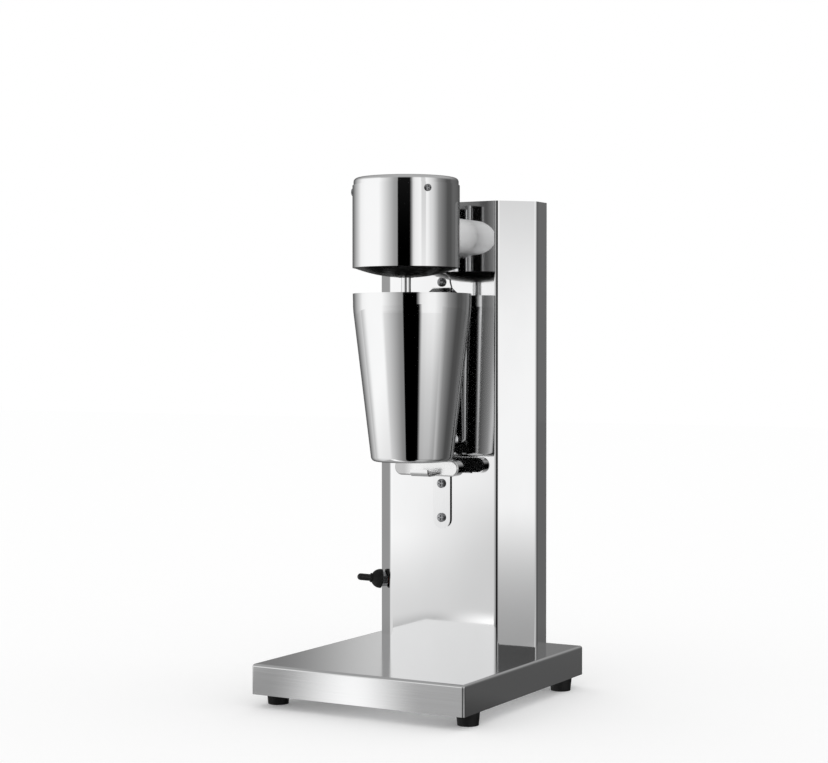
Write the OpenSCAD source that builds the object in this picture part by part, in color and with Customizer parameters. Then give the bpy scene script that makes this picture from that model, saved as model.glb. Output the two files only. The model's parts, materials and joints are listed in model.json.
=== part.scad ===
// Countertop milkshake mixer: a folded sheet-metal stand, a motor head with a hanging spindle,
// and a tapered mixing cup that stands on a rest and is hooked under a clip.
// Millimetres. X runs left to right, the front faces -Y, Z is up, and z = 0 is the worktop.

/* [Base] */
// Width of the base pan, left to right
base_w = 222; // [205:1:280]
// Depth of the base pan, front to back
base_d = 247; // [225:1:300]
// Height of the base pan's walls
base_h = 28; // [22:1:40]
// Sheet thickness of the base pan
base_sheet = 1.5; // [1:0.1:2]
// Inside radius of the base pan's folds
base_fold_r = 1; // [0.5:0.1:3]
// Width of the pan's return flange along its lower edge
base_flange_w = 24; // [22:1:30]
// Thickness of the bottom cover
bottom_cover_t = 1.2; // [0.8:0.1:2]
// Height of the rubber feet
foot_h = 12; // [8:0.5:20]
// Diameter of a foot at its top
foot_d = 21.5; // [18:0.5:24]
// How much narrower a foot is at its lower end
foot_taper = 2.4; // [0:0.1:4]
// Distance of the foot's axis from the pan's side
foot_in_x = 11; // [11:0.5:14]
// Distance of the foot's axis from the pan's front or back
foot_in_y = 28; // [14:0.5:40]

/* [Column] */
// Distance of the column's back from the base's rear edge
col_rear_in = 27.5; // [24:0.5:31]
// Width of the column's front face
col_face_w = 117; // [105:1:125]
// Width that a chamfer takes on each side
col_chamfer_w = 28; // [25:0.5:32]
// Depth that a chamfer takes
col_chamfer_d = 30; // [27:0.5:33]
// Depth of the flat side behind the chamfer
col_side_d = 26; // [23:0.5:30]
// Height of the column above the base
col_h = 431; // [390:1:480]
// Sheet thickness of the column
col_sheet = 1.5; // [1:0.1:2]
// Inside radius of the column's bends
col_bend_r = 4.5; // [2:0.1:5]
// Width of the flanges that carry the back cover
col_flange_w = 16; // [12:0.5:22]
// Thickness of the back cover
back_cover_t = 1.2; // [0.8:0.1:2]
// Margin between the back cover and the column's edges
back_cover_in = 3; // [2:0.5:5]
// Depth of the top cap's skirt
top_cap_h = 12; // [8:0.5:20]
// Bore of the cable gland
gland_bore = 8; // [6:0.5:9]
// Height of the cable gland above the base
gland_rise = 36; // [30:1:60]

/* [Head] */
// Distance from the column's front face to the head's axis
head_reach = 70.6; // [68:0.1:74]
// Diameter of the head's shell
head_d = 100; // [95:0.5:103]
// Height of the head's shell
head_shell_h = 76.5; // [74:0.5:80]
// Sheet thickness of the head
head_sheet = 1.2; // [0.8:0.1:1.5]
// Height of the cap above the shell
cap_h = 9; // [8.5:0.5:14]
// Step in radius from the shell to the cap
cap_step = 1; // [0.5:0.1:1.5]
// Radius of the cap's edge
cap_edge_r = 3.5; // [2:0.5:5]
// Crown of the cap at its centre
cap_crown = 2.2; // [1:0.1:4]
// Depth of the dished bottom
dish_h = 9; // [7:0.5:10]
// Distance of the neck's axis below the column's top
neck_drop = 33; // [30:1:60]
// Height of the neck's axis above the head's lower edge
neck_rise = 32.5; // [31:0.5:35]
// Width of the oval neck sleeve
neck_w = 76; // [68:1:80]
// Height of the neck sleeve
neck_h = 33; // [30:0.5:38]
// Wall of the neck sleeve
neck_wall = 3; // [2:0.1:3.5]

/* [Motor] */
// Diameter of the stator core
stator_d = 72; // [70:0.5:74]
// Height of the stator and armature stacks
stack_h = 28; // [24:0.5:29]
// Diameter of the armature
armature_d = 34; // [32:0.5:35]
// Air gap between the armature and the poles
air_gap = 0.5; // [0.4:0.05:0.8]
// Number of armature slots
armature_slots = 12; // [10:1:14]
// Diameter of the motor shaft
shaft_d = 8; // [7:0.5:9]
// Outside diameter of the bearings
bearing_d = 16; // [14:0.5:18]
// Height of the bearings
bearing_h = 6; // [5:0.5:6.5]
// Diameter of the commutator
commutator_d = 21; // [19:0.5:23]
// Number of blades on the cooling fan
fan_blades = 9; // [5:1:12]
// Diameter of the cooling fan
fan_d = 64; // [50:1:70]

/* [Spindle] */
// Diameter of the mixing spindle
spindle_d = 9; // [8:0.1:10]
// Height of the agitator above the bottom of the cup
agitator_gap = 14; // [13:0.5:20]
// Diameter of the agitator's wavy disc
agitator_d = 27; // [25:0.5:30]
// Number of lobes round the wavy disc
agitator_lobes = 6; // [4:2:8]

/* [Cup] */
// Outside diameter of the cup at its rim
cup_rim_d = 111.4; // [108:0.2:114]
// Outside diameter of the cup at its bottom
cup_base_d = 76.6; // [72:0.2:82]
// Height of the cup
cup_h = 157; // [145:1:170]
// Wall of the cup
cup_wall = 0.9; // [0.7:0.1:1.4]
// Height of the nearly straight band below the rim
cup_band_h = 15; // [8:0.5:24]
// Outside radius of the cup's bottom edge
cup_edge_r = 4.5; // [3:0.5:7]
// Gap between the back of the cup's rim and the column
cup_gap = 3.6; // [3:0.1:5]
// Gap between the cup's rim and the head's lower edge
rim_gap = 23.7; // [23:0.1:30]

/* [Cup rest and clip] */
// Width of the bracket strip
strip_w = 18.6; // [16:0.2:22]
// Thickness of the bracket strip
strip_t = 2; // [1.5:0.1:2.5]
// Length of the bracket's leg below its arm
strip_leg = 52.8; // [48:0.2:60]
// Distance from the column to the front of the bracket's arm
arm_reach = 46.7; // [46:0.1:52]
// Height of the arm's turned-up front end
arm_lip_h = 6.6; // [5:0.2:9]
// Spacing of the bracket's two screws
strip_screw_pitch = 32.9; // [28:0.1:36]
// Width of the cup rest
rest_w = 69.2; // [60:0.2:76]
// Height of the cup rest
rest_h = 15.2; // [13:0.2:18]
// Depth of the cup rest, front to back
rest_d = 12; // [11:0.5:14]
// Distance from the column to the front of the cup rest
rest_front = 33; // [32:0.2:36]
// Thickness of the clip
clip_t = 1.5; // [1:0.1:2]
// Width of the clip's lip inside the cup
clip_lip_w = 28; // [22:0.5:30]
// How far the clip's lip reaches below the rim
clip_lip_h = 7.5; // [5:0.5:10]
// Height of the clip's screw above the rim
clip_screw_rise = 12.7; // [12.4:0.1:15]

/* [Switch] */
// Height of the switch above the base
switch_rise = 60.4; // [45:0.2:120]
// Distance of the switch behind the middle of the column's left chamfer
switch_back = 8; // [0:0.5:9]
// Length of the lever outside the column
lever_len = 27.5; // [24:0.1:34]
// Diameter of the lever's sleeve
lever_d = 6.8; // [6:0.1:8]
// Diameter of the domed boot
boot_d = 19; // [18.5:0.1:22]
// Distance from the column's face to the end of the boot's collar
boot_len = 14; // [13:0.1:17]
// Tilt of the lever from level, up at rest and down when switched
lever_tilt = 6.7; // [5:0.1:7]

/* [Fits] */
// Radial clearance of a running fit
run_clear = 0.05; // [0.02:0.01:0.1]
// Gap between pieces that only lie beside each other
part_gap = 0.2; // [0.1:0.05:0.3]
// Radial clearance of a screw in a plain hole
screw_clear = 0.1; // [0.05:0.05:0.3]

/* [Hidden] */
$fn = 96;
hair = 0.001;
base_top = foot_h + base_h;
base_fold_out = base_fold_r + base_sheet;
foot_screw_d = 4;
foot_screw_l = 10;
foot_recess_d = 9.5;
foot_web = 4;
foot_x = base_w / 2 - foot_in_x;
foot_y = base_d / 2 - foot_in_y;
flange_z = foot_h + bottom_cover_t + part_gap;
col_top = base_top + col_h;
col_half = col_face_w / 2 + col_chamfer_w;
col_back = base_d / 2 - col_rear_in;
col_y = col_back - col_side_d - col_chamfer_d;
col_plan = [[-col_face_w / 2, col_y], [col_face_w / 2, col_y], [col_half, col_y + col_chamfer_d],
            [col_half, col_back], [-col_half, col_back], [-col_half, col_y + col_chamfer_d]];
chamfer_a = atan2(col_chamfer_w, col_chamfer_d);
cover_half = col_half - back_cover_in;
cover_screw_d = 3;
cover_screw_l = 6;
cover_opening = 2 * (col_half - col_sheet - col_flange_w);
cover_screw_x = col_half - col_flange_w / 2 - col_sheet / 2;
cover_screw_z = [base_top + 30, (base_top + col_top) / 2, col_top - 30];
gland_z = base_top + gland_rise;
gland_rim = 4;
gland_thread_d = gland_bore + 4;
block_w = 44;
block_d = 14;
block_h = 18;
block_pitch = 13;
block_z = base_top + 40;
bracket_t = 2;
bracket_w = 16;
bracket_leg = 24;
bracket_bolt_in = 14;
bracket_front_x = 34;
bracket_side_y = col_y + col_chamfer_d + col_side_d / 2 - 2;
bolt_d = 5;
neck_z = col_top - neck_drop;
head_y = col_y - head_reach;
head_r = head_d / 2;
head_in_r = head_r - head_sheet;
head_z = neck_z - neck_rise;
seam_z = head_z + head_shell_h;
cap_r = head_r - cap_step;
cap_skirt_h = 10;
cap_screw_d = 3;
cap_screw_drop = 5.5;
cap_screw_a = 37;
head_fit_r = head_in_r - part_gap / 2;
dish_sphere_r = (head_fit_r * head_fit_r + dish_h * dish_h) / (2 * dish_h);
dish_skirt_h = 10;
stud_d = 16;
stud_bore = 11;
stud_nut_af = 24;
stud_nut_h = 3.5;
stud_end = 0.8;
saddle_d = 30;
saddle_y = head_y + sqrt(pow(head_in_r, 2) - pow(saddle_d / 2, 2)) - 1.2;
bracket_disc_t = 4;
lower_bracket_z = head_z + 9;
stator_z = head_z + 24;
stator_top = stator_z + stack_h;
commutator_h = 8;
commutator_z = stator_top + 7;
upper_bracket_z = commutator_z + commutator_h + 1.5;
upper_bracket_top = upper_bracket_z + bracket_disc_t;
upper_hub_top = upper_bracket_z + bearing_h;
fan_z = upper_hub_top + 1;
fan_h = 5;
shaft_top = fan_z + fan_h + 1.5;
yoke_w = 7;
yoke_in_r = stator_d / 2 - yoke_w;
pole_r = armature_d / 2 + air_gap;
pole_neck_w = 26;
pole_shoe_t = 3.5;
shoe_r = pole_r + pole_shoe_t;
bolt_ring_r = stator_d / 2 - yoke_w / 2;
motor_bolt_d = 3;
stud_ring_r = 24;
mount_stud_d = 4;
mount_post_d = 9;
mount_post_h = 6;
mount_nut_af = 7;
mount_nut_h = 3.2;
bolt_post_d = 6.4;
hub_d = bearing_d + 6;
coupling_d = 14;
coupling_z = head_z - 5.5;
coupling_h = 12.5;
winding_over = 6;
coil_t = 5;
coil_in_w = pole_neck_w + 0.6;
coil_y_in = sqrt(pow(shoe_r + 0.4, 2) - pow(coil_in_w / 2, 2));
coil_y_out = sqrt(pow(yoke_in_r - 0.4, 2) - pow(coil_in_w / 2 + coil_t, 2));
brush_holder_h = 9;
brush_holder_w = 8;
brush_holder_l = 17;
brush_holder_wall = 1.4;
brush_w = brush_holder_w - 2 * brush_holder_wall;
brush_clear = 0.1;
brush_l = 14;
coupling_mid = coupling_z + coupling_h / 2;
seal_d = spindle_d + 5;
seal_h = 3.2;
cup_band_in = 0.3;
cup_shoulder_r = 90;
cup_recess_h = 1.2;
cup_recess_d = 58;
cup_y = col_y - cup_gap - cup_rim_d / 2;
cup_z = head_z - rim_gap - cup_h;
rim_z = cup_z + cup_h;
bead_r = 0.9;
cup_taper = (cup_rim_d / 2 - cup_band_in - cup_base_d / 2) / (cup_h - cup_band_h);
cup_floor = cup_z + cup_recess_h + cup_wall;
agitator_z = cup_floor + agitator_gap;
agitator_t = 1.2;
button_d = 11;
button_h = 4;
lobe_w = 6;
lobe_tilt = 16;
upper_disc_rise = 24;
upper_disc_d = 20;
rest_top = cup_z - part_gap;
rest_bottom = rest_top - rest_h;
rest_y = col_y - rest_front;
rest_sheet = 1.2;
rest_edge_r = 1.6;
buffer_out = 1.5;
arm_mid_z = rest_bottom + strip_t / 2;
strip_bend_r = 3;
strip_screw_d = 4;
strip_screw_drop = 9.2;
strip_screw_z = [rest_bottom - strip_screw_drop, rest_bottom - strip_screw_drop - strip_screw_pitch];
clip_screw_z = rim_z + clip_screw_rise;
clip_bend_r = 1.5;
clip_bend_z = clip_screw_z - screw_head_r(strip_screw_d) - clip_bend_r - part_gap;
clip_slope_h = 6.9;
clip_top_r = 8.5;
clip_bend_w = 20.4;
clip_lip_y = cup_y + cup_rim_d / 2 - cup_wall - 4.6;
switch_z = base_top + switch_rise;
switch_hole_d = 10;
switch_pivot = -1;
boot_wall = 1.2;
boot_mouth = 3;
boot_band = 1;
bushing_out = 6;
bushing_d = switch_hole_d - 2 * screw_clear;
bushing_bore = 7.4;
switch_nut_af = 12.5;
switch_nut_h = 2.5;
sleeve_z = bushing_out + 4;
stem_d = 4.4;
pin_d = 2;
ball_d = 6;

// ---- vectors and outlines ----

function unit(v) = v / norm(v);
function left(v) = [-v[1], v[0]];
function side_of(u, v) = sign(u[0] * v[1] - u[1] * v[0]);

// The corners of a counter-clockwise convex outline moved inwards by d
function inset(pts, d) = [
    for (i = [0:len(pts) - 1])
        let (n = len(pts), a = left(unit(pts[i] - pts[(i + n - 1) % n])),
             b = left(unit(pts[(i + 1) % n] - pts[i])))
        pts[i] + (a + b) * d / (1 + a * b)];

// Length that a bend of centre-line radius r takes from each side of corner i
function bend_cut(path, i, r) =
    let (u = unit(path[i] - path[i - 1]), v = unit(path[i + 1] - path[i]))
    r * tan(acos(u * v) / 2);

// A convex outline with true arcs of radius r at its corners. Where its sides are slanted the arcs
// stand proud by a hair, so that they cross the sides instead of only touching them.
module rounded_plan(pts, r, proud = 0) {
    c = inset(pts, r);
    n = len(c);
    polygon(c);
    for (i = [0:n - 1]) {
        out = -left(unit(c[(i + 1) % n] - c[i])) * r;
        polygon([c[i], c[i] + out, c[(i + 1) % n] + out, c[(i + 1) % n]]);
        translate(c[i]) circle(r + proud);
    }
}

module rounded_rect(w, d, r) {
    rounded_plan([[-w / 2, -d / 2], [w / 2, -d / 2], [w / 2, d / 2], [-w / 2, d / 2]], r);
}

module ring(d_out, d_in) {
    difference() {
        circle(d = d_out);
        circle(d = d_in);
    }
}

// A bar with round ends, centred, w long and h high
module stadium(w, h) {
    square([w - h, h], center = true);
    for (s = [-1, 1]) translate([s * (w - h) / 2, 0]) circle(d = h);
}

// The edge view of a strip of thickness t bent along a path, with bends of centre-line radius r
module bent_strip(path, t, r) {
    last = len(path) - 1;
    for (i = [0:last - 1]) {
        d = unit(path[i + 1] - path[i]);
        p = path[i] + d * (i == 0 ? 0 : bend_cut(path, i, r));
        q = path[i + 1] - d * (i == last - 1 ? 0 : bend_cut(path, i + 1, r));
        h = left(d) * t / 2;
        polygon([p + h, p - h, q - h, q + h]);
    }
    for (i = [1:last - 1]) {
        u = unit(path[i] - path[i - 1]);
        v = unit(path[i + 1] - path[i]);
        cut = bend_cut(path, i, r);
        c = path[i] - u * cut + left(u) * side_of(u, v) * r;
        intersection() {
            translate(c) ring(2 * r + t, 2 * r - t);
            polygon([c, c + 2 * (path[i] - u * cut - c), c + 2 * (path[i] - c),
                     c + 2 * (path[i] + v * cut - c)]);
        }
    }
}

// ---- placing ----

// Lays an outline drawn as (Y, Z) across the part, w wide and centred on x = 0
module across(w) {
    translate([w / 2, 0, 0]) rotate([90, 0, -90]) linear_extrude(w) mirror([1, 0]) children();
}

// Stands an outline drawn as (X, Z) up, from y_from back to y_to
module upright(y_from, y_to) {
    translate([0, y_to, 0]) rotate([90, 0, 0]) linear_extrude(y_to - y_from) children();
}

// A cylinder along Y
module rod_y(x, z, d, y_from, y_to) {
    translate([x, y_to, z]) rotate([90, 0, 0]) cylinder(d = d, h = y_to - y_from);
}

module at_head() { translate([0, head_y, 0]) children(); }

module at_feet() {
    for (sx = [-1, 1], sy = [-1, 1]) translate([sx * foot_x, sy * foot_y, 0]) children();
}

module mirror_x() {
    children();
    mirror([1, 0, 0]) children();
}

// The left chamfer's frame: +X points out of the face, +Z stays up, the origin lies on the face
module at_switch() {
    translate([-col_face_w / 2 - col_chamfer_w / 2, col_y + col_chamfer_d / 2, switch_z])
        rotate([0, 0, 180 + chamfer_a]) translate([0, -switch_back, 0]) children();
}

// The lever's frame: the pivot, with the lever along +X, tilted as it rests
module at_lever() {
    at_switch() translate([switch_pivot, 0, 0]) rotate([0, -lever_tilt, 0])
        translate([-switch_pivot, 0, 0]) children();
}

// Four places round the head's axis for the bolts that hold the motor together
module at_motor_bolts() {
    at_head() for (a = [45:90:315]) rotate(a) translate([bolt_ring_r, 0, 0]) children();
}

// Three places round the head's axis for the studs that carry the motor
module at_mount_studs() {
    at_head() for (a = [0:120:240]) rotate(a) translate([stud_ring_r, 0, 0]) children();
}

// Three places on the shell below the seam, with +X pointing outwards
module at_cap_screws() {
    at_head() for (a = [0:120:240])
        rotate(a - cap_screw_a) translate([head_r, 0, seam_z - cap_screw_drop]) children();
}

// ---- fasteners ----

// Radius of a pan head on a screw of diameter d
function screw_head_r(d) = 1.1 * d;

// A pan-head screw with a cross slot, pointing down -Z from the face at z = 0
module pan_screw(d, len) {
    head_dia = 2 * screw_head_r(d);
    head_h = 0.62 * d;
    dome_r = head_dia;
    difference() {
        intersection() {
            translate([0, 0, head_h - dome_r]) sphere(dome_r);
            cylinder(d = head_dia, h = head_h);
        }
        for (a = [0, 90]) rotate(a)
            translate([0, 0, head_h]) cube([1.25 * d, 0.28 * d, 0.7 * d], center = true);
    }
    translate([0, 0, -len]) cylinder(d = d, h = len);
}

module hex_nut(af, bore, h) {
    difference() {
        cylinder(d = af / cos(30), h = h, $fn = 6);
        translate([0, 0, -1]) cylinder(d = bore, h = h + 2);
    }
}

// ---- base ----

module feet() color("#1b1b1c") at_feet() difference() {
    cylinder(d1 = foot_d - foot_taper, d2 = foot_d, h = foot_h);
    translate([0, 0, -1]) cylinder(d = foot_recess_d, h = foot_h - foot_web + 1);
    translate([0, 0, -1]) cylinder(d = foot_screw_d + 2 * screw_clear, h = foot_h + 2);
}

module foot_screws() color("#b9bcc0") at_feet()
    translate([0, 0, foot_h - foot_web]) rotate([180, 0, 0]) pan_screw(foot_screw_d, foot_screw_l);

// The pan's outer or inner form: walls and top with rounded folds and vertical corners
module pan_form(w, d, h, r) {
    linear_extrude(h - r) rounded_rect(w, d, r);
    translate([0, 0, h / 2]) cube([w - 2 * r, d - 2 * r, h], center = true);
    for (s = [-1, 1]) {
        translate([0, s * (d / 2 - r), h - r]) rotate([0, 90, 0])
            cylinder(r = r, h = w - 2 * r, center = true);
        translate([s * (w / 2 - r), 0, h - r]) rotate([90, 0, 0])
            cylinder(r = r, h = d - 2 * r, center = true);
        for (t = [-1, 1]) translate([s * (w / 2 - r), t * (d / 2 - r), h - r]) sphere(r);
    }
}

module bottom_cover() color("#8f9396") difference() {
    clear = 2 * (base_sheet + part_gap);
    translate([0, 0, foot_h]) linear_extrude(bottom_cover_t)
        rounded_rect(base_w - clear, base_d - clear, base_fold_r);
    at_feet() translate([0, 0, foot_h - 1]) cylinder(d = foot_screw_d + 2 * screw_clear, h = 4);
}

module base_pan() color("#d4d6d8") difference() {
    translate([0, 0, foot_h]) difference() {
        pan_form(base_w, base_d, base_h, base_fold_out);
        translate([0, 0, -base_sheet])
            pan_form(base_w - 2 * base_sheet, base_d - 2 * base_sheet, base_h, base_fold_r);
    }
    at_brackets() translate([-bracket_bolt_in, 0, -2 * base_sheet])
        cylinder(d = bolt_d + 2 * screw_clear, h = 4 * base_sheet);
}

// The return flange runs round the inside of the pan's walls
module base_flange() color("#8f9396") difference() {
    inner = 2 * (base_sheet + base_flange_w);
    translate([0, 0, flange_z]) linear_extrude(base_sheet) difference() {
        rounded_rect(base_w - 2 * base_sheet, base_d - 2 * base_sheet, base_fold_r);
        square([base_w - inner, base_d - inner], center = true);
    }
    at_feet() translate([0, 0, flange_z - 1]) cylinder(d = foot_screw_d, h = 2 + base_sheet);
}

// ---- column ----

// The frames of the four angle brackets: +X points at the wall that a bracket stands against
module at_brackets() mirror_x() {
    translate([col_half - col_sheet, bracket_side_y, base_top]) children();
    translate([bracket_front_x, col_y + col_sheet, base_top]) rotate(-90) children();
}

// Angle brackets that hold the column down on the base
module column_brackets() color("#9da1a4") at_brackets() difference() {
    rotate([90, 0, 0]) linear_extrude(bracket_w, center = true) bent_strip([
        [-bracket_leg, bracket_t / 2], [-bracket_t / 2, bracket_t / 2],
        [-bracket_t / 2, bracket_leg]], bracket_t, 1.5 * bracket_t);
    translate([-bracket_bolt_in, 0, -1]) cylinder(d = bolt_d + 2 * screw_clear, h = bracket_t + 2);
}

module column_bolts() color("#b9bcc0") at_brackets() translate([-bracket_bolt_in, 0, 0]) {
    translate([0, 0, bracket_t]) pan_screw(bolt_d, bracket_t + base_sheet + 6);
    translate([0, 0, -base_sheet - 4]) hex_nut(8, bolt_d, 4);
}

// The folded sheet of the column, seen from above, open at the back between two flanges
module column_sheet() difference() {
    rounded_plan(col_plan, col_bend_r + col_sheet, hair);
    rounded_plan(inset(col_plan, col_sheet), col_bend_r, hair);
    translate([0, col_back]) square([cover_opening, 4 * col_sheet], center = true);
}

module column_shell() color("#dcdddf") difference() {
    translate([0, 0, base_top]) linear_extrude(col_h) column_sheet();
    rod_y(0, neck_z, stud_d + 2 * screw_clear, col_y - 1, col_y + 2 * col_sheet);
    for (z = strip_screw_z)
        rod_y(0, z, strip_screw_d, col_y - 1, col_y + 2 * col_sheet);
    rod_y(0, clip_screw_z, strip_screw_d, col_y - 1, col_y + 2 * col_sheet);
    at_switch() translate([-2 * col_sheet, 0, 0]) rotate([0, 90, 0])
        cylinder(d = switch_hole_d, h = 4 * col_sheet);
    at_cover_screws() translate([0, 0, -4 * col_sheet])
        cylinder(d = cover_screw_d, h = 6 * col_sheet);
}

// The top cap drops into the column and closes the gap between the flanges too
module column_top_cap() color("#c9cccf") {
    plan = inset(col_plan, col_sheet + part_gap / 2);
    translate([0, 0, col_top - col_sheet]) linear_extrude(col_sheet) {
        rounded_plan(plan, col_bend_r, hair);
        translate([0, col_back - col_sheet]) square([cover_opening - 2 * part_gap, 2 * col_sheet],
                                                    center = true);
    }
    translate([0, 0, col_top - top_cap_h]) linear_extrude(top_cap_h) difference() {
        rounded_plan(plan, col_bend_r, hair);
        rounded_plan(inset(plan, col_sheet), col_bend_r / 2, hair);
    }
}

// The frames of the back cover's screws, on the flanges' outer face, +Z pointing backwards
module at_cover_screws() {
    for (s = [-1, 1], z = cover_screw_z)
        translate([s * cover_screw_x, col_back, z]) rotate([-90, 0, 0]) children();
}

module back_cover() color("#b4b7ba") difference() {
    height = col_h - 2 * back_cover_in;
    translate([0, 0, base_top + back_cover_in + height / 2])
        upright(col_back, col_back + back_cover_t) rounded_rect(2 * cover_half, height, 3);
    at_cover_screws() translate([0, 0, -1])
        cylinder(d = cover_screw_d + 2 * screw_clear, h = back_cover_t + 2);
    rod_y(0, gland_z, gland_thread_d + 2 * screw_clear, col_back - 1, col_back + 4);
}

module back_cover_screws() color("#b9bcc0")
    at_cover_screws() translate([0, 0, back_cover_t]) pan_screw(cover_screw_d, cover_screw_l);

module cable_gland() color("#1b1b1c") difference() {
    translate([0, col_back + back_cover_t, gland_z]) rotate([-90, 0, 0]) {
        cylinder(d1 = gland_thread_d + 2 * gland_rim, d2 = gland_thread_d, h = gland_rim);
        translate([0, 0, -12]) cylinder(d = gland_thread_d, h = 13);
    }
    rod_y(0, gland_z, gland_bore, col_back - 20, col_back + 20);
}

module gland_nut() color("#2a2a2c") translate([0, col_back - 4, gland_z]) rotate([-90, 0, 0])
    hex_nut(gland_thread_d + 5, gland_thread_d, 4);

// Screw terminals for the mains leads, on the inside of the column's front face
module terminal_block() color("#e8e4d8") difference() {
    translate([-block_w / 2, col_y + col_sheet, block_z]) cube([block_w, block_d, block_h]);
    for (x = [-block_pitch, 0, block_pitch]) {
        translate([x, col_y + col_sheet + 8, block_z - 1]) cylinder(d = 5, h = block_h + 2);
        rod_y(x, block_z + block_h / 2, 4, col_y + col_sheet + 9, col_y + col_sheet + block_d + 1);
    }
}

// ---- cup rest ----

// The strip that is screwed to the column, bent forward into an arm and up at its front end
module cup_rest_arm() color("#d9dbdd") difference() {
    foot_z = rest_bottom - strip_leg;
    lip_y = col_y - arm_reach + strip_t / 2;
    intersection() {
        across(strip_w) bent_strip([
            [col_y - strip_t / 2, foot_z], [col_y - strip_t / 2, arm_mid_z],
            [lip_y, arm_mid_z], [lip_y, rest_bottom + arm_lip_h]], strip_t, strip_bend_r);
        upright(col_y - 2 * arm_reach, col_y + 1) {
            translate([0, foot_z + strip_w / 2]) circle(d = strip_w);
            translate([-strip_w / 2, foot_z + strip_w / 2]) square([strip_w, 2 * strip_leg]);
        }
    }
    for (z = strip_screw_z)
        rod_y(0, z, strip_screw_d + 2 * screw_clear, col_y - 2 * strip_t, col_y + 1);
}

module cup_rest_screws() color("#aeb2b6") for (z = strip_screw_z)
    translate([0, col_y - strip_t, z]) rotate([90, 0, 0]) pan_screw(strip_screw_d, 9);

// The notch that the arm passes through at the foot of the rest
module arm_notch() {
    w = strip_w + 2 * screw_clear;
    translate([-w / 2, rest_y - 1, rest_bottom - 1]) cube([w, 2 * rest_d, strip_t + 1]);
}

// A drawn cap with round ends, open at the back
module cup_rest_cap() color("#e6e7e8") difference() {
    translate([0, 0, rest_bottom + rest_h / 2]) union() {
        upright(rest_y + rest_edge_r, rest_y + rest_d) stadium(rest_w, rest_h);
        upright(rest_y, rest_y + rest_edge_r)
            stadium(rest_w - 2 * rest_edge_r, rest_h - 2 * rest_edge_r);
        for (s = [-1, 1]) {
            translate([s * (rest_w - rest_h) / 2, rest_y + rest_edge_r, 0]) rotate([90, 0, 0])
                rotate_extrude() translate([rest_h / 2 - rest_edge_r, 0]) circle(rest_edge_r);
            translate([0, rest_y + rest_edge_r, s * (rest_h / 2 - rest_edge_r)])
                rotate([0, 90, 0]) cylinder(r = rest_edge_r, h = rest_w - rest_h, center = true);
        }
    }
    translate([0, 0, rest_bottom + rest_h / 2])
        upright(rest_y + rest_sheet, rest_y + 2 * rest_d)
            stadium(rest_w - 2 * rest_sheet, rest_h - 2 * rest_sheet);
    arm_notch();
}

// The rubber that fills the cap and shows at its back
module cup_rest_buffer() color("#161617") difference() {
    translate([0, 0, rest_bottom + rest_h / 2])
        upright(rest_y + rest_sheet, rest_y + rest_d + buffer_out)
            stadium(rest_w - 2 * rest_sheet, rest_h - 2 * rest_sheet);
    arm_notch();
}

// ---- cup clip ----

// A plate under one screw, bent forward over the rim and down inside the cup
module cup_clip() color("#c4c7ca") difference() {
    lip_top = clip_bend_z - clip_slope_h;
    lip_foot = rim_z - clip_lip_h;
    intersection() {
        across(clip_lip_w) bent_strip([
            [col_y - clip_t / 2, clip_screw_z + clip_top_r], [col_y - clip_t / 2, clip_bend_z],
            [clip_lip_y, lip_top], [clip_lip_y, lip_foot]], clip_t, clip_bend_r);
        upright(clip_lip_y - clip_t, col_y + 1) {
            translate([0, clip_screw_z]) circle(clip_top_r);
            polygon([[clip_top_r, clip_screw_z], [clip_bend_w / 2, clip_bend_z],
                     [clip_lip_w / 2, lip_top], [clip_lip_w / 2, lip_foot],
                     [-clip_lip_w / 2, lip_foot], [-clip_lip_w / 2, lip_top],
                     [-clip_bend_w / 2, clip_bend_z], [-clip_top_r, clip_screw_z]]);
        }
    }
    rod_y(0, clip_screw_z, strip_screw_d + 2 * screw_clear, col_y - 2 * clip_t, col_y + 1);
}

module cup_clip_screw() color("#aeb2b6")
    translate([0, col_y - clip_t, clip_screw_z]) rotate([90, 0, 0]) pan_screw(strip_screw_d, 9);

// ---- neck ----

// A flat oval tube between the column and the head, its front end coped to the round shell
module neck_sleeve() color("#d4d6d8") difference() {
    translate([0, 0, neck_z]) upright(head_y + head_r / 2, col_y) stadium(neck_w, neck_h);
    translate([0, 0, neck_z]) upright(head_y, col_y + 1)
        stadium(neck_w - 2 * neck_wall, neck_h - 2 * neck_wall);
    at_head() translate([0, 0, head_z]) cylinder(d = head_d, h = head_shell_h);
}

module neck_stud() color("#b08d57") difference() {
    rod_y(0, neck_z, stud_d, saddle_y - stud_nut_h - stud_end,
          col_y + col_sheet + stud_nut_h + stud_end);
    rod_y(0, neck_z, stud_bore, head_y, col_back);
}

module neck_nuts() color("#b9bcc0")
    for (y = [saddle_y - stud_nut_h, col_y + col_sheet])
        translate([0, y, neck_z]) rotate([-90, 0, 0]) hex_nut(stud_nut_af, stud_d, stud_nut_h);

// The washer between the shell's curved inside and the flat nut
module neck_saddle() color("#9da1a4") difference() {
    intersection() {
        rod_y(0, neck_z, saddle_d, saddle_y, col_y);
        at_head() translate([0, 0, head_z]) cylinder(r = head_fit_r, h = head_shell_h);
    }
    rod_y(0, neck_z, stud_d + 2 * screw_clear, head_y, col_y + 1);
}

// ---- head ----

module head_shell() color("#e0e1e3") difference() {
    at_head() translate([0, 0, head_z]) linear_extrude(head_shell_h)
        ring(head_d, head_d - 2 * head_sheet);
    rod_y(0, neck_z, stud_d + 2 * screw_clear, head_y, col_y);
    at_cap_screws() rotate([0, 90, 0]) translate([0, 0, -head_sheet - 1])
        cylinder(d = cap_screw_d + 2 * screw_clear, h = head_sheet + 2);
}

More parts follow.
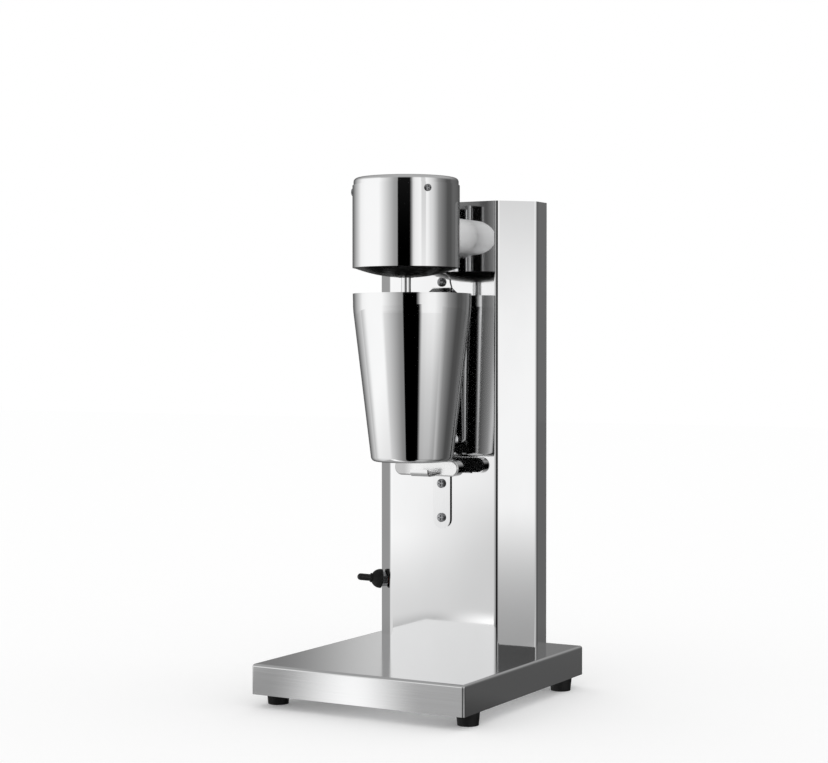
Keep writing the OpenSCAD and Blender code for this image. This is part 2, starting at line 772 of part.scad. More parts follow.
// Half the outline of the cap's outside (in = 0) or inside (in = the sheet), from the seam up
module cap_outline(in) {
    r = cap_r - in;
    e = cap_edge_r - in;
    side_h = cap_h - cap_crown - in;
    crown_r = (pow(r - e, 2) + pow(cap_crown, 2)) / (2 * cap_crown);
    square([r, side_h - e]);
    square([r - e, side_h]);
    translate([r - e, side_h - e]) intersection() {
        circle(e);
        square(e);
    }
    intersection() {
        translate([0, side_h + cap_crown - crown_r]) circle(crown_r);
        translate([0, side_h - 0.01]) square([r - e, cap_crown + 1]);
    }
}

// The drawn cap: its skirt sits inside the shell and takes the radial screws
module head_cap() color("#e0e1e3") difference() {
    at_head() translate([0, 0, seam_z]) {
        rotate_extrude() difference() {
            cap_outline(0);
            cap_outline(head_sheet);
        }
        translate([0, 0, -cap_skirt_h]) linear_extrude(cap_skirt_h + cap_step)
            ring(2 * head_fit_r, 2 * (head_fit_r - head_sheet));
    }
    at_cap_screws() rotate([0, 90, 0]) translate([0, 0, -cap_skirt_h])
        cylinder(d = cap_screw_d, h = cap_skirt_h + 1);
}

module head_cap_screws() color("#8f9396")
    at_cap_screws() rotate([0, 90, 0]) pan_screw(cap_screw_d, 4.5);

// The ball whose lower part is the dish's outside (in = 0) or inside (in = the sheet)
// Half the outline of the dish that closes the head, with z = 0 at the head's lower edge
module dish_outline() {
    centre = [0, dish_sphere_r - dish_h];
    difference() {
        union() {
            intersection() {
                translate(centre) circle(dish_sphere_r, $fn = 720);
                translate([0, -dish_h]) square([head_fit_r, dish_h]);
            }
            square([head_fit_r, dish_skirt_h]);
        }
        intersection() {
            translate(centre) circle(dish_sphere_r - head_sheet, $fn = 720);
            translate([0, -dish_h])
                square([head_fit_r - head_sheet, 2 * dish_h + dish_skirt_h]);
        }
        translate([0, -2 * dish_h]) square([seal_d / 2, 2 * dish_h]);
    }
}

module head_dish() color("#1b1b1c") at_head() translate([0, 0, head_z])
    rotate_extrude($fn = 180) dish_outline();

module shaft_seal() color("#1b1b1c") at_head() translate([0, 0, head_z - dish_h])
    linear_extrude(seal_h) ring(seal_d, spindle_d + 2 * run_clear);

// ---- motor ----

// Studs welded to the dish, with the nuts that clamp the motor
module mounting_studs() color("#b9bcc0") {
    intersection() {
        at_mount_studs() translate([0, 0, head_z - dish_h])
            cylinder(d = mount_stud_d,
                     h = lower_bracket_z - head_z + dish_h + bracket_disc_t + mount_nut_h + 1.8);
        at_head() translate([0, 0, head_z - dish_h + dish_sphere_r])
            sphere(dish_sphere_r - head_sheet, $fn = 180);
    }
    at_mount_studs() translate([0, 0, lower_bracket_z + bracket_disc_t])
        hex_nut(mount_nut_af, mount_stud_d, mount_nut_h);
}

// Windows round a bracket's hub, at the angles given, that let the air through
module bracket_windows(angles) for (a = angles) rotate(a) intersection() {
    ring(2 * bolt_ring_r - bolt_post_d - 2, hub_d + 6);
    polygon([[0, 0], [stator_d, -stator_d / 3], [stator_d, stator_d / 3]]);
}

module lower_bracket() color("#a9adb0") difference() {
    union() {
        at_head() translate([0, 0, lower_bracket_z]) {
            linear_extrude(bracket_disc_t) difference() {
                circle(d = stator_d);
                bracket_windows([60:120:300]);
            }
            translate([0, 0, -1]) cylinder(d = hub_d, h = bearing_h + 1.5);
        }
        at_mount_studs() translate([0, 0, lower_bracket_z - mount_post_h])
            cylinder(d = mount_post_d, h = mount_post_h + bracket_disc_t);
        at_motor_bolts() translate([0, 0, lower_bracket_z])
            cylinder(d = bolt_post_d, h = stator_z - lower_bracket_z);
    }
    at_head() {
        translate([0, 0, lower_bracket_z]) cylinder(d = bearing_d, h = bearing_h + 1);
        translate([0, 0, head_z]) cylinder(d = shaft_d + 2, h = 20);
    }
    at_mount_studs() translate([0, 0, head_z]) cylinder(d = mount_stud_d + 0.2, h = 20);
    at_motor_bolts() translate([0, 0, head_z]) cylinder(d = motor_bolt_d, h = 40);
}

module bearing() linear_extrude(bearing_h) ring(bearing_d, shaft_d + 2 * run_clear);

module lower_bearing() color("#b08d57") at_head() translate([0, 0, lower_bracket_z]) bearing();

module upper_bearing() color("#b08d57") at_head() translate([0, 0, upper_bracket_z]) bearing();

// The laminated core: a yoke with two poles whose shoes curve round the armature
module stator_core() color("#6f7377") at_head() translate([0, 0, stator_z])
    linear_extrude(stack_h) difference() {
        union() {
            ring(stator_d, 2 * yoke_in_r);
            intersection() {
                ring(2 * shoe_r, 2 * pole_r);
                for (s = [-1, 1])
                    polygon([[0, 0], [1.5 * stator_d, s * stator_d], [-1.5 * stator_d, s * stator_d]]);
            }
            intersection() {
                square([pole_neck_w, 2 * yoke_in_r + 1], center = true);
                circle(yoke_in_r + 1);
            }
        }
        circle(pole_r);
        for (a = [45:90:315]) rotate(a) translate([bolt_ring_r, 0])
            circle(d = motor_bolt_d + 2 * screw_clear);
    }

// One coil round each pole's neck
module field_coils() color("#a5582c") at_head() for (s = [0, 180]) rotate(s)
    translate([0, 0, stator_z + stack_h / 2]) upright(coil_y_in, coil_y_out) difference() {
        rounded_rect(coil_in_w + 2 * coil_t, stack_h + 2 * winding_over, 4);
        square([coil_in_w, stack_h + 2 * part_gap], center = true);
    }

module upper_bracket() color("#a9adb0") difference() {
    union() {
        at_head() translate([0, 0, upper_bracket_z]) {
            linear_extrude(bracket_disc_t) difference() {
                circle(d = stator_d);
                bracket_windows([45:90:315]);
            }
            cylinder(d = hub_d, h = bearing_h);
        }
        at_motor_bolts() translate([0, 0, stator_top])
            cylinder(d = bolt_post_d, h = upper_bracket_top - stator_top);
    }
    at_head() translate([0, 0, upper_bracket_z - 1]) cylinder(d = bearing_d, h = 2 * bearing_h);
    at_motor_bolts() translate([0, 0, stator_top - 1])
        cylinder(d = motor_bolt_d + 2 * screw_clear, h = 40);
}

module motor_bolts() color("#b9bcc0") at_motor_bolts() translate([0, 0, upper_bracket_top])
    pan_screw(motor_bolt_d, upper_bracket_top - lower_bracket_z);

// Two brush holders hang from the upper bracket on either side of the commutator
module at_brushes() at_head() for (a = [0, 180]) rotate(a)
    translate([0, 0, upper_bracket_z - brush_holder_h]) children();

// A bar lying along a brush, w wide and h high about the middle of the holder's height
module brush_bar(x_from, len, w, h) translate([x_from, -w / 2, (brush_holder_h - h) / 2])
    cube([len, w, h]);

module brush_holders() color("#c9a24a") at_brushes() difference() {
    brush_bar(commutator_d / 2 + 2.5, brush_holder_l, brush_holder_w, brush_holder_h);
    brush_bar(0, stator_d, brush_w, brush_holder_h - 2 * brush_holder_wall);
}

module carbon_brushes() color("#2b2b2d") at_brushes()
    brush_bar(commutator_d / 2 + part_gap, brush_l, brush_w - 2 * brush_clear,
              brush_holder_h - 2 * brush_holder_wall - 2 * brush_clear);

// ---- rotor ----

module motor_shaft() color("#b9bcc0") at_head() translate([0, 0, coupling_mid])
    cylinder(d = shaft_d, h = shaft_top - coupling_mid);

module armature_core() color("#6f7377") at_head() translate([0, 0, stator_z])
    linear_extrude(stack_h) difference() {
        ring(armature_d, shaft_d);
        for (i = [0:armature_slots - 1]) rotate(i * 360 / armature_slots)
            translate([armature_d / 2 - 2.5, 0]) square([6, 2.4], center = true);
    }

// The end turns above and below the armature's stack
module armature_windings() color("#b4622f") at_head() for (z = [stator_z, stator_top])
    translate([0, 0, z]) mirror([0, 0, z == stator_z ? 1 : 0]) rotate_extrude() {
        square_w = armature_d / 2 - 1.5 - shaft_d / 2 - 2;
        translate([shaft_d / 2, 0]) square([2 + square_w, winding_over - 3]);
        translate([shaft_d / 2, 0]) square([square_w - 1, winding_over]);
        translate([armature_d / 2 - 4.5, winding_over - 3]) circle(3);
    }

module commutator() color("#c98447") at_head() translate([0, 0, commutator_z])
    linear_extrude(commutator_h) difference() {
        ring(commutator_d, shaft_d);
        for (i = [0:2 * armature_slots - 1]) rotate(i * 180 / armature_slots)
            translate([commutator_d / 2, 0]) square([2, 0.5], center = true);
    }

module cooling_fan() color("#3a3d40") at_head() translate([0, 0, fan_z]) {
    linear_extrude(1.2) ring(fan_d, shaft_d);
    linear_extrude(fan_h) ring(shaft_d + 5, shaft_d);
    for (i = [0:fan_blades - 1]) rotate(i * 360 / fan_blades)
        translate([shaft_d / 2 + 2, -0.6, 0]) cube([fan_d / 2 - shaft_d / 2 - 3, 1.2, fan_h]);
}

module spindle_coupling() color("#9da1a4") at_head() difference() {
    translate([0, 0, coupling_z]) cylinder(d = coupling_d, h = coupling_h);
    translate([0, 0, coupling_mid]) cylinder(d = shaft_d, h = coupling_h);
    translate([0, 0, coupling_z - 1]) cylinder(d = spindle_d, h = coupling_h / 2 + 2);
}

module spindle() color("#c4c7ca") at_head() translate([0, 0, agitator_z + button_h])
    cylinder(d = spindle_d, h = coupling_mid - agitator_z - button_h);

// The wavy disc at the foot of the spindle: lobes bent up and down in turn, and the plain upper disc
module agitator_discs() color("#c4c7ca") at_head() difference() {
    union() {
        translate([0, 0, agitator_z + button_h]) {
            cylinder(d = agitator_d / 2 + 3, h = agitator_t);
            for (i = [0:agitator_lobes - 1]) rotate(i * 360 / agitator_lobes) {
                bend_x = button_d / 2 + part_gap;
                reach = agitator_d / 2 - bend_x;
                translate([bend_x, 0, 0]) rotate([0, i % 2 == 0 ? lobe_tilt : -lobe_tilt, 0])
                    linear_extrude(agitator_t) translate([reach / 2, 0]) stadium(reach, lobe_w);
            }
        }
        translate([0, 0, agitator_z + upper_disc_rise]) cylinder(d = upper_disc_d, h = agitator_t);
    }
    translate([0, 0, agitator_z]) cylinder(d = spindle_d, h = 2 * upper_disc_rise);
}

module agitator_button() color("#9da1a4") at_head() translate([0, 0, agitator_z]) intersection() {
    cylinder(d = button_d, h = button_h);
    translate([0, 0, button_d]) sphere(button_d);
}

// ---- cup ----

// Half the outline of the cup's outside (in = 0) or inside (in = the wall). The band runs into the
// tapered wall through an arc whose ends stand proud by a hair, as in rounded_plan.
module cup_outline(in) {
    slope = atan(cup_taper);
    e = cup_edge_r - in;
    edge_x = cup_base_d / 2 - in + cup_edge_r * cup_taper - e / cos(slope);
    foot = [edge_x + e * cos(slope), cup_edge_r - e * sin(slope)];
    corner = [cup_rim_d / 2 - cup_band_in - in, cup_h - cup_band_h];
    rim = [cup_rim_d / 2 - in, cup_h];
    u = unit(corner - foot);
    v = unit(rim - corner);
    r = cup_shoulder_r - in;
    cut = r * tan(acos(u * v) / 2);
    shoulder = corner - u * cut;
    difference() {
        union() {
            polygon([[0, in], [edge_x, in], foot, shoulder, corner + v * cut, rim, [0, cup_h]]);
            intersection() {
                translate(shoulder + left(u) * r) circle(r + hair, $fn = 720);
                polygon([shoulder - u * cut, corner, corner + v * 2 * cut,
                         shoulder + left(u) * cut]);
            }
            intersection() {
                translate([edge_x, cup_edge_r]) circle(e);
                translate([edge_x, 0]) square(cup_edge_r);
            }
        }
        square([cup_recess_d / 2 + in, cup_recess_h + in]);
    }
}

module mixing_cup() color("#dcdddf") translate([0, cup_y, cup_z]) rotate_extrude() {
    difference() {
        cup_outline(0);
        cup_outline(cup_wall);
    }
    translate([cup_rim_d / 2 - bead_r, cup_h - bead_r]) circle(bead_r);
}

// ---- switch ----

module switch_body() color("#8a1f1f") at_switch() difference() {
    union() {
        translate([-col_sheet - 18, -6.5, -11]) cube([18, 13, 22]);
        translate([-col_sheet - 1, 0, 0]) rotate([0, 90, 0])
            cylinder(d = bushing_d, h = col_sheet + 1 + bushing_out);
    }
    translate([switch_pivot - 5, 0, 0]) rotate([0, 90, 0]) cylinder(d = bushing_bore, h = 20);
    translate([switch_pivot, 0, 0]) rotate([90, 0, 0]) cylinder(d = pin_d, h = 40, center = true);
}

module switch_terminals() color("#c9a24a") at_switch() for (z = [-7, 0, 7])
    translate([-col_sheet - 26, -3, z - 0.4]) cube([8, 6, 0.8]);

module switch_nut() color("#3a3d40") at_switch() rotate([0, 90, 0])
    hex_nut(switch_nut_af, bushing_d, switch_nut_h);

module switch_pin() color("#b9bcc0") at_switch() translate([switch_pivot, 0, 0])
    rotate([90, 0, 0]) cylinder(d = pin_d, h = bushing_d - 0.6, center = true);

module switch_lever() color("#1b1b1c") at_lever() difference() {
    rotate([0, 90, 0]) {
        translate([0, 0, switch_pivot]) sphere(d = ball_d);
        translate([0, 0, switch_pivot]) cylinder(d = stem_d, h = sleeve_z + 1 - switch_pivot);
        translate([0, 0, sleeve_z]) cylinder(d = lever_d, h = lever_len - sleeve_z - lever_d / 2);
        translate([0, 0, lever_len - lever_d / 2]) sphere(d = lever_d);
    }
    translate([switch_pivot, 0, 0]) rotate([90, 0, 0])
        cylinder(d = pin_d + 2 * run_clear, h = 2 * ball_d, center = true);
}

// Half the outline of the boot: a dome over the bushing, open towards the column, and a collar on
// the lever's sleeve
module boot_outline() {
    dome_z = boot_mouth + boot_band;
    cavity_r = boot_d / 2 - boot_wall;
    difference() {
        union() {
            translate([0, dome_z]) intersection() {
                circle(boot_d / 2);
                square(boot_d / 2);
            }
            translate([0, boot_mouth]) square([boot_d / 2, boot_band]);
            translate([0, dome_z]) square([lever_d / 2 + boot_wall, boot_len - dome_z]);
        }
        translate([0, dome_z]) intersection() {
            circle(cavity_r);
            square([cavity_r, sleeve_z - dome_z]);
        }
        translate([0, boot_mouth - 1]) square([cavity_r, boot_band + 1]);
        square([lever_d / 2, boot_len + 1]);
    }
}

module switch_boot() color("#161617") at_lever() rotate([0, 90, 0]) rotate_extrude()
    boot_outline();

feet();
foot_screws();
bottom_cover();
union() { base_pan(); base_flange(); }
column_brackets();
column_bolts();
column_shell();
column_top_cap();
back_cover();
back_cover_screws();
cable_gland();
gland_nut();
terminal_block();
cup_rest_arm();
cup_rest_cap();
cup_rest_buffer();
cup_rest_screws();
cup_clip();
cup_clip_screw();
neck_sleeve();
neck_stud();
neck_nuts();
neck_saddle();
head_shell();
head_cap();
head_cap_screws();
head_dish();
mounting_studs();
lower_bracket();
lower_bearing();
stator_core();
field_coils();
upper_bracket();
upper_bearing();
motor_bolts();
brush_holders();
carbon_brushes();
shaft_seal();
switch_body();
switch_terminals();
switch_nut();
switch_pin();
switch_lever();
switch_boot();
motor_shaft();
armature_core();
armature_windings();
commutator();
cooling_fan();
spindle_coupling();
spindle();
agitator_discs();
agitator_button();
mixing_cup();
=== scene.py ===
"""The looks of the milkshake mixer: polished and brushed steel, rubber and plastic in a white studio."""
import json
import math

import bpy
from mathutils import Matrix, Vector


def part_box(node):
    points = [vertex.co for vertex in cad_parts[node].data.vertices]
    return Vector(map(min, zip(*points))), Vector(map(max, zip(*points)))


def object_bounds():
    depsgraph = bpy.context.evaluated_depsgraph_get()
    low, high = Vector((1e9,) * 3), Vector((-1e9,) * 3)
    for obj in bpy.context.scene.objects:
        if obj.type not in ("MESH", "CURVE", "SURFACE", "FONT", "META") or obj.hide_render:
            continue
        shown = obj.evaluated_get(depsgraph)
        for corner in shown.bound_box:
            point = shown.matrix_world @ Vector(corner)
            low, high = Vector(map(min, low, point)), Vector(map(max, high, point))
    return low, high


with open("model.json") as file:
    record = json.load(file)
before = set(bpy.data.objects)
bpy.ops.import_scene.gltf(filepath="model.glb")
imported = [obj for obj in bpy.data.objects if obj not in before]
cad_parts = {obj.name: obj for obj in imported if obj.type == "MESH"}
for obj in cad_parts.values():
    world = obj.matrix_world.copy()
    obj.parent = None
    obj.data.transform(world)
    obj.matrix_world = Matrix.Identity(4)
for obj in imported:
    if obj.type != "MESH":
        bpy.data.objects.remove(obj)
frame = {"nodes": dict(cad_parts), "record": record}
cad_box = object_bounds()
nodes = frame["nodes"]


# ---- node helpers ----

class Graph:
    """A short way to write a node tree: add() makes a node, whose inputs take values or other outputs."""

    def __init__(self, tree):
        self.tree = tree
        tree.nodes.clear()

    def add(self, kind, inputs=(), output=0, **settings):
        """The output of a new node, or the node itself where it has none."""
        node = self.tree.nodes.new(kind)
        for key, value in settings.items():
            setattr(node, key, value)
        for key, value in dict(inputs).items():
            self.put(node.inputs[key], value)
        return node.outputs[output] if node.outputs else node

    def put(self, socket, value):
        if isinstance(value, bpy.types.NodeSocket):
            self.tree.links.new(value, socket)
        else:
            socket.default_value = value

    def math(self, operation, a, b=0.0):
        return self.add("ShaderNodeMath", {0: a, 1: b}, operation=operation)

    def split(self, vector):
        """The X, Y and Z of a vector."""
        node = self.tree.nodes.new("ShaderNodeSeparateXYZ")
        self.put(node.inputs[0], vector)
        return node.outputs

    def ramp(self, factor, stops):
        """stops are (position, grey level) pairs."""
        node = self.tree.nodes.new("ShaderNodeValToRGB")
        elements = node.color_ramp.elements
        while len(elements) < len(stops):
            elements.new(0.5)
        for element, (position, level) in zip(elements, stops):
            element.position = position
            element.color = grey(level)
        self.put(node.inputs[0], factor)
        return node.outputs["Color"]

    def between(self, value, low, high, to_low=0.0, to_high=1.0):
        """A smooth step from to_low to to_high as the value goes from low to high."""
        return self.add(
            "ShaderNodeMapRange",
            {"Value": value, "From Min": low, "From Max": high, "To Min": to_low, "To Max": to_high},
            interpolation_type="SMOOTHSTEP",
        )

    def bearing(self, x, y):
        """The angle of (x, y) from the front, which is -Y, towards +X."""
        return self.math("ARCTAN2", x, self.math("MULTIPLY", y, -1.0))

    def turned(self, angle, start, end):
        """A smooth step from 0 to 1 as the angle goes from start to end, both in degrees."""
        return self.between(angle, math.radians(start), math.radians(end))

    def sector(self, angle, start, rise, fall, end):
        """1 between the angles rise and fall, in degrees, and 0 before start and after end."""
        opening = self.turned(angle, start, rise)
        closing = self.between(angle, math.radians(fall), math.radians(end), 1.0, 0.0)
        return self.math("MULTIPLY", opening, closing)

    def noise(self, vector, scale=1.0, detail=3.0, roughness=0.5):
        return self.add(
            "ShaderNodeTexNoise",
            {"Vector": vector, "Scale": scale, "Detail": detail, "Roughness": roughness},
        )

    def place(self):
        """Object coordinates, which are the machine's own metres."""
        return self.add("ShaderNodeTexCoord", output="Object")

    def stretched(self, scale):
        """Object coordinates scaled by axis, so that a noise drawn on them runs along the small axis."""
        return self.add("ShaderNodeMapping", {"Vector": self.place(), "Scale": scale})

    def mix(self, factor, a, b):
        """Colour a where the factor is 0 and b where it is 1."""
        node = self.tree.nodes.new("ShaderNodeMix")
        node.data_type = "RGBA"
        for socket, value in zip((0, 6, 7), (factor, a, b)):
            self.put(node.inputs[socket], value)
        return node.outputs[2]

    def blend(self, factor, a, b):
        """Number a where the factor is 0 and b where it is 1."""
        return self.add("ShaderNodeMix", {"Factor": factor, "A": a, "B": b})

    def bump(self, height, strength, distance, normal=None):
        inputs = {"Height": height, "Strength": strength, "Distance": distance}
        if normal is not None:
            inputs["Normal"] = normal
        return self.add("ShaderNodeBump", inputs)


def grey(level):
    """An opaque grey of this level."""
    return (level, level, level, 1.0)


def shade(colour, factor=1.0):
    """An opaque colour, darkened by the factor."""
    return (*(factor * c for c in colour), 1.0)


def new_material(name):
    """An empty material and the graph that fills it."""
    material = bpy.data.materials.new(name)
    material.use_nodes = True
    return material, Graph(material.node_tree)


def close_material(graph, surface):
    graph.add("ShaderNodeOutputMaterial", {"Surface": surface})


def principled(graph, **inputs):
    """A Principled BSDF. Its inputs are named as keywords, with underscores for spaces."""
    names = {key.replace("_", " "): value for key, value in inputs.items()}
    return graph.add("ShaderNodeBsdfPrincipled", names)


# ---- materials ----

# How wide the change to the painted shade on the lip of the cup's clip is, and how much of the steel's colour
# is left under that painted shade
PAINTED_SHADE_EDGE = 0.0008
PAINTED_SHADE_SHARE = 0.2
# Where the satin front of the cup's rest ends behind its front face, and where the painted shade on its left
# part ends
REST_SATIN_DEPTH = (0.001, 0.003)
REST_PAINTED_SHADE_X = (-0.02, -0.008)


def polished_steel(name, tint, rough, grain, wave=0.0, rim=1.0, painted_shade_before=None):
    """Mirror-finished stainless steel: smears in the gloss, hairline grain, and a slight wave of the sheet.
    The rim is how bright it stays at a glancing angle. Where y is less than the given value, its colour is
    painted darker: painted shade."""
    material, graph = new_material(name)
    smear = graph.noise(graph.stretched((14, 14, 9)), detail=4.0, roughness=0.55)
    hair = graph.noise(graph.stretched(grain), detail=2.0, roughness=0.6)
    swell = graph.noise(graph.stretched((9, 9, 5)), detail=0.0)
    colour = graph.mix(graph.between(smear, 0.3, 0.75), shade(tint), shade(tint, 0.965))
    # Painted shade: the colour darkens where y is less than the given value.
    if painted_shade_before is not None:
        y = graph.split(graph.place())[1]
        before = graph.between(y, painted_shade_before - PAINTED_SHADE_EDGE, painted_shade_before, 1.0, 0.0)
        colour = graph.mix(before, colour, shade(tint, PAINTED_SHADE_SHARE))
    shape = graph.bump(swell, strength=wave, distance=0.002)
    close_material(graph, principled(
        graph, Base_Color=colour, Metallic=1.0, Specular_Tint=grey(rim),
        Roughness=graph.between(smear, 0.35, 0.7, rough * 0.8, rough * 1.35),
        Normal=graph.bump(hair, strength=0.006, distance=0.0003, normal=shape)))
    return material


def rest_steel(name, tint, front):
    """The rest's drawn cap: satin on its front face, painted darker towards the left as shade, and bright on
    its walls.
    """
    material, graph = new_material(name)
    x, y, _ = graph.split(graph.place())
    depth = graph.math("SUBTRACT", y, front)
    cloud = graph.noise(graph.stretched((60, 20, 60)))
    blurred_x = graph.math("ADD", x, graph.math("MULTIPLY", cloud, 0.008))
    # Painted shade: the cap's colour is darkened towards the left.
    left = graph.between(blurred_x, *REST_PAINTED_SHADE_X, 1.0, 0.0)
    line = graph.noise(graph.stretched((30, 1500, 1500)), roughness=0.7)
    close_material(graph, principled(
        graph, Base_Color=graph.mix(left, shade(tint), shade(tint, 0.6)), Metallic=1.0,
        Roughness=graph.between(depth, *REST_SATIN_DEPTH, 0.2, 0.06),
        Normal=graph.bump(line, strength=0.01, distance=0.0004)))
    return material


def brushed_steel(name, tint, rough, grain, depth=0.06, metallic=1.0):
    """Brushed stainless steel, whose grain runs along the axis with the small scale. The depth is the
    grain's. A less metallic one is more matt, and stays paler where the room is dark."""
    material, graph = new_material(name)
    line = graph.noise(graph.stretched(grain), roughness=0.7)
    cloud = graph.noise(graph.stretched((25, 25, 25)))
    colour = graph.mix(graph.between(line, 0.3, 0.72), shade(tint, 0.93), shade(tint))
    colour = graph.mix(graph.between(cloud, 0.35, 0.8, 0.0, 0.35), colour, shade(tint, 0.95))
    close_material(graph, principled(
        graph, Base_Color=colour, Metallic=metallic,
        Roughness=graph.between(line, 0.3, 0.7, rough * 0.75, rough * 1.3),
        Normal=graph.bump(line, strength=depth, distance=0.0004)))
    return material


def plain(name, dark, light, rough, grain=120.0, depth=0.15, metallic=0.0, gloss=0.5):
    """Rubber, moulded plastic, castings and plating: mottled from dark to light, with fine pores. The grain
    sets how many mottles and pores there are to a metre, and the depth how strong the pores are."""
    material, graph = new_material(name)
    mottle = graph.noise(graph.place(), scale=grain * 0.35, detail=4.0)
    pores = graph.noise(graph.place(), scale=grain * 9.0, roughness=0.65)
    close_material(graph, principled(
        graph, Base_Color=graph.mix(graph.between(mottle, 0.35, 0.65), shade(dark), shade(light)),
        Metallic=metallic, Specular_IOR_Level=gloss,
        Roughness=graph.between(pores, 0.3, 0.7, rough * 0.85, min(1.0, rough * 1.2)),
        Normal=graph.bump(pores, strength=depth, distance=0.0002)))
    return material


def layered(name, dark, light, rough, metallic, pitch, depth=0.3):
    """Stacked sheets or wound wire: fine lines, from dark to light, at a regular pitch along Z."""
    material, graph = new_material(name)
    height = graph.split(graph.place())[2]
    line = graph.between(graph.math("PINGPONG", height, pitch / 2), 0.0, pitch / 2)
    tone = graph.noise(graph.place(), scale=60.0)
    factor = graph.math("MULTIPLY", line, graph.between(tone, 0.25, 0.75, 0.6, 1.0))
    close_material(graph, principled(
        graph, Base_Color=graph.mix(factor, shade(dark), shade(light)), Metallic=metallic,
        Roughness=graph.between(tone, 0.3, 0.7, rough * 0.85, rough * 1.15),
        Normal=graph.bump(line, strength=depth, distance=pitch / 4)))
    return material


STEEL = (0.95, 0.952, 0.955)
LEVEL_GRAIN = (40, 40, 2500)
UPRIGHT_GRAIN = (1500, 1500, 40)
# A little more than the thickness of the clip's plate on the column. What lies before it is the bent lip,
# which is painted dark as shade.
CLIP_PLATE = 0.0017
MIRROR = polished_steel("mirror_steel", STEEL, 0.035, LEVEL_GRAIN, rim=0.45)
HOOK = polished_steel("hook_steel", STEEL, 0.035, LEVEL_GRAIN,
                      painted_shade_before=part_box("cup_clip")[1][1] - CLIP_PLATE)
SHEET = polished_steel("sheet_steel", STEEL, 0.05, (2600, 2600, 30), wave=0.05)
PAN = brushed_steel("pan_steel", (0.78, 0.782, 0.785), 0.12, (12, 1800, 1800), 0.01)
REST = rest_steel("rest_steel", (0.98, 0.98, 0.98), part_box("cup_rest_cap")[0][1])
STRIP = brushed_steel("strip_steel", STEEL, 0.1, UPRIGHT_GRAIN, 0.015)
SATIN = brushed_steel("satin_steel", (0.72, 0.725, 0.73), 0.3, UPRIGHT_GRAIN, metallic=0.75)
TURNED = polished_steel("turned_steel", (0.9, 0.902, 0.905), 0.08, (60, 60, 2500))
ZINC = plain("zinc_plate", (0.34, 0.345, 0.355), (0.46, 0.465, 0.475), 0.3, 60, 0.08, metallic=1.0)
ENAMEL = plain("black_enamel", (0.006, 0.006, 0.006), (0.01, 0.01, 0.01), 0.3, 90, 0.05)
BLACK_RUBBER = plain("black_rubber", (0.006, 0.006, 0.006), (0.014, 0.014, 0.014), 0.5, 160, 0.25,
                     gloss=0.2)
BLACK_PLASTIC = plain("black_plastic", (0.008, 0.008, 0.009), (0.014, 0.014, 0.015), 0.32, 200, 0.1,
                      gloss=0.4)
PHENOLIC = plain("phenolic", (0.12, 0.018, 0.012), (0.2, 0.035, 0.02), 0.4, 90, 0.15)
CREAM = plain("cream_plastic", (0.66, 0.6, 0.48), (0.74, 0.69, 0.57), 0.42, 90, 0.1)
BRASS = plain("turned_brass", (0.62, 0.43, 0.18), (0.74, 0.54, 0.25), 0.3, 70, 0.1, metallic=1.0)
BRONZE = plain("sintered_bronze", (0.36, 0.22, 0.1), (0.5, 0.32, 0.16), 0.5, 150, 0.4, metallic=1.0)
CASTING = plain("cast_aluminium", (0.5, 0.51, 0.52), (0.66, 0.67, 0.68), 0.45, 110, 0.5, metallic=1.0)
NECK = plain("blasted_neck", (0.92, 0.922, 0.925), (0.96, 0.962, 0.965), 0.34, 90, 0.06, metallic=0.3)
CARBON = plain("pressed_carbon", (0.012, 0.012, 0.013), (0.03, 0.03, 0.032), 0.6, 120, 0.3)
STACK = layered("lamination_stack", (0.05, 0.055, 0.06), (0.2, 0.21, 0.22), 0.45, 1.0, 0.0007)
WINDING = layered("copper_winding", (0.16, 0.045, 0.015), (0.5, 0.19, 0.07), 0.3, 0.8, 0.0006)
COPPER = layered("copper_segments", (0.42, 0.18, 0.09), (0.72, 0.36, 0.2), 0.28, 1.0, 0.002, 0.05)

SLOT_MATERIAL = {
    "polished": MIRROR, "enamel": ENAMEL, "satin": SATIN, "hardware": ZINC, "rubber": BLACK_RUBBER,
    "black_plastic": BLACK_PLASTIC, "phenolic": PHENOLIC, "cream_plastic": CREAM, "brass": BRASS,
    "copper": WINDING, "laminations": STACK, "castings": CASTING, "carbon": CARBON,
}
NODE_MATERIAL = {
    "column_shell": SHEET, "column_top_cap": SHEET, "base_pan": PAN, "neck_sleeve": NECK,
    "cup_rest_cap": REST, "cup_rest_arm": STRIP, "cup_clip": HOOK, "spindle": TURNED,
    "lower_bearing": BRONZE, "upper_bearing": BRONZE, "commutator": COPPER,
}
for part in frame["record"]["subparts"]:
    mesh = nodes[part["node"]].data
    mesh.materials.clear()
    mesh.materials.append(NODE_MATERIAL.get(part["node"], SLOT_MATERIAL[part["material_slot"]]))


# ---- studio ----

def full_turn(degrees):
    """An azimuth from the front, towards +X, as a ramp position from 0 to 1."""
    return degrees / 360 + 0.5


# What polished steel sees round the horizon: a broad key light in front on the left, a narrow dark gap
# where the camera stands, a fill light on the right, and a dim room behind.
ROOM = [
    (-180, 0.17), (-150, 0.2), (-143, 0.2), (-124, 0.33), (-113, 0.5), (-96, 0.7), (-83, 0.97),
    (-68, 1.0), (-31, 1.0), (4, 0.36), (11.5, 0.3), (12.5, 0.0), (38, 0.0), (42, 0.3), (45, 0.72),
    (49, 0.88), (62, 0.97), (75, 0.95), (90, 0.66), (104, 0.29), (113, 0.2), (130, 0.08),
    (142, 0.085), (150, 0.14), (158, 0.14), (180, 0.17),
]
# The sine of the elevation at which the room starts to turn into the ceiling, and where it is all ceiling
CEILING_RISE = (0.05, 0.6)
CEILING_LEVEL = 0.42
# The fill light fades upwards in the sector that the column's right chamfer mirrors.
CHAMFER_SECTOR = (61, 64, 71, 74)
CHAMFER_FADE_RISE = (0.0, 0.1)
CHAMFER_FADE = 0.3
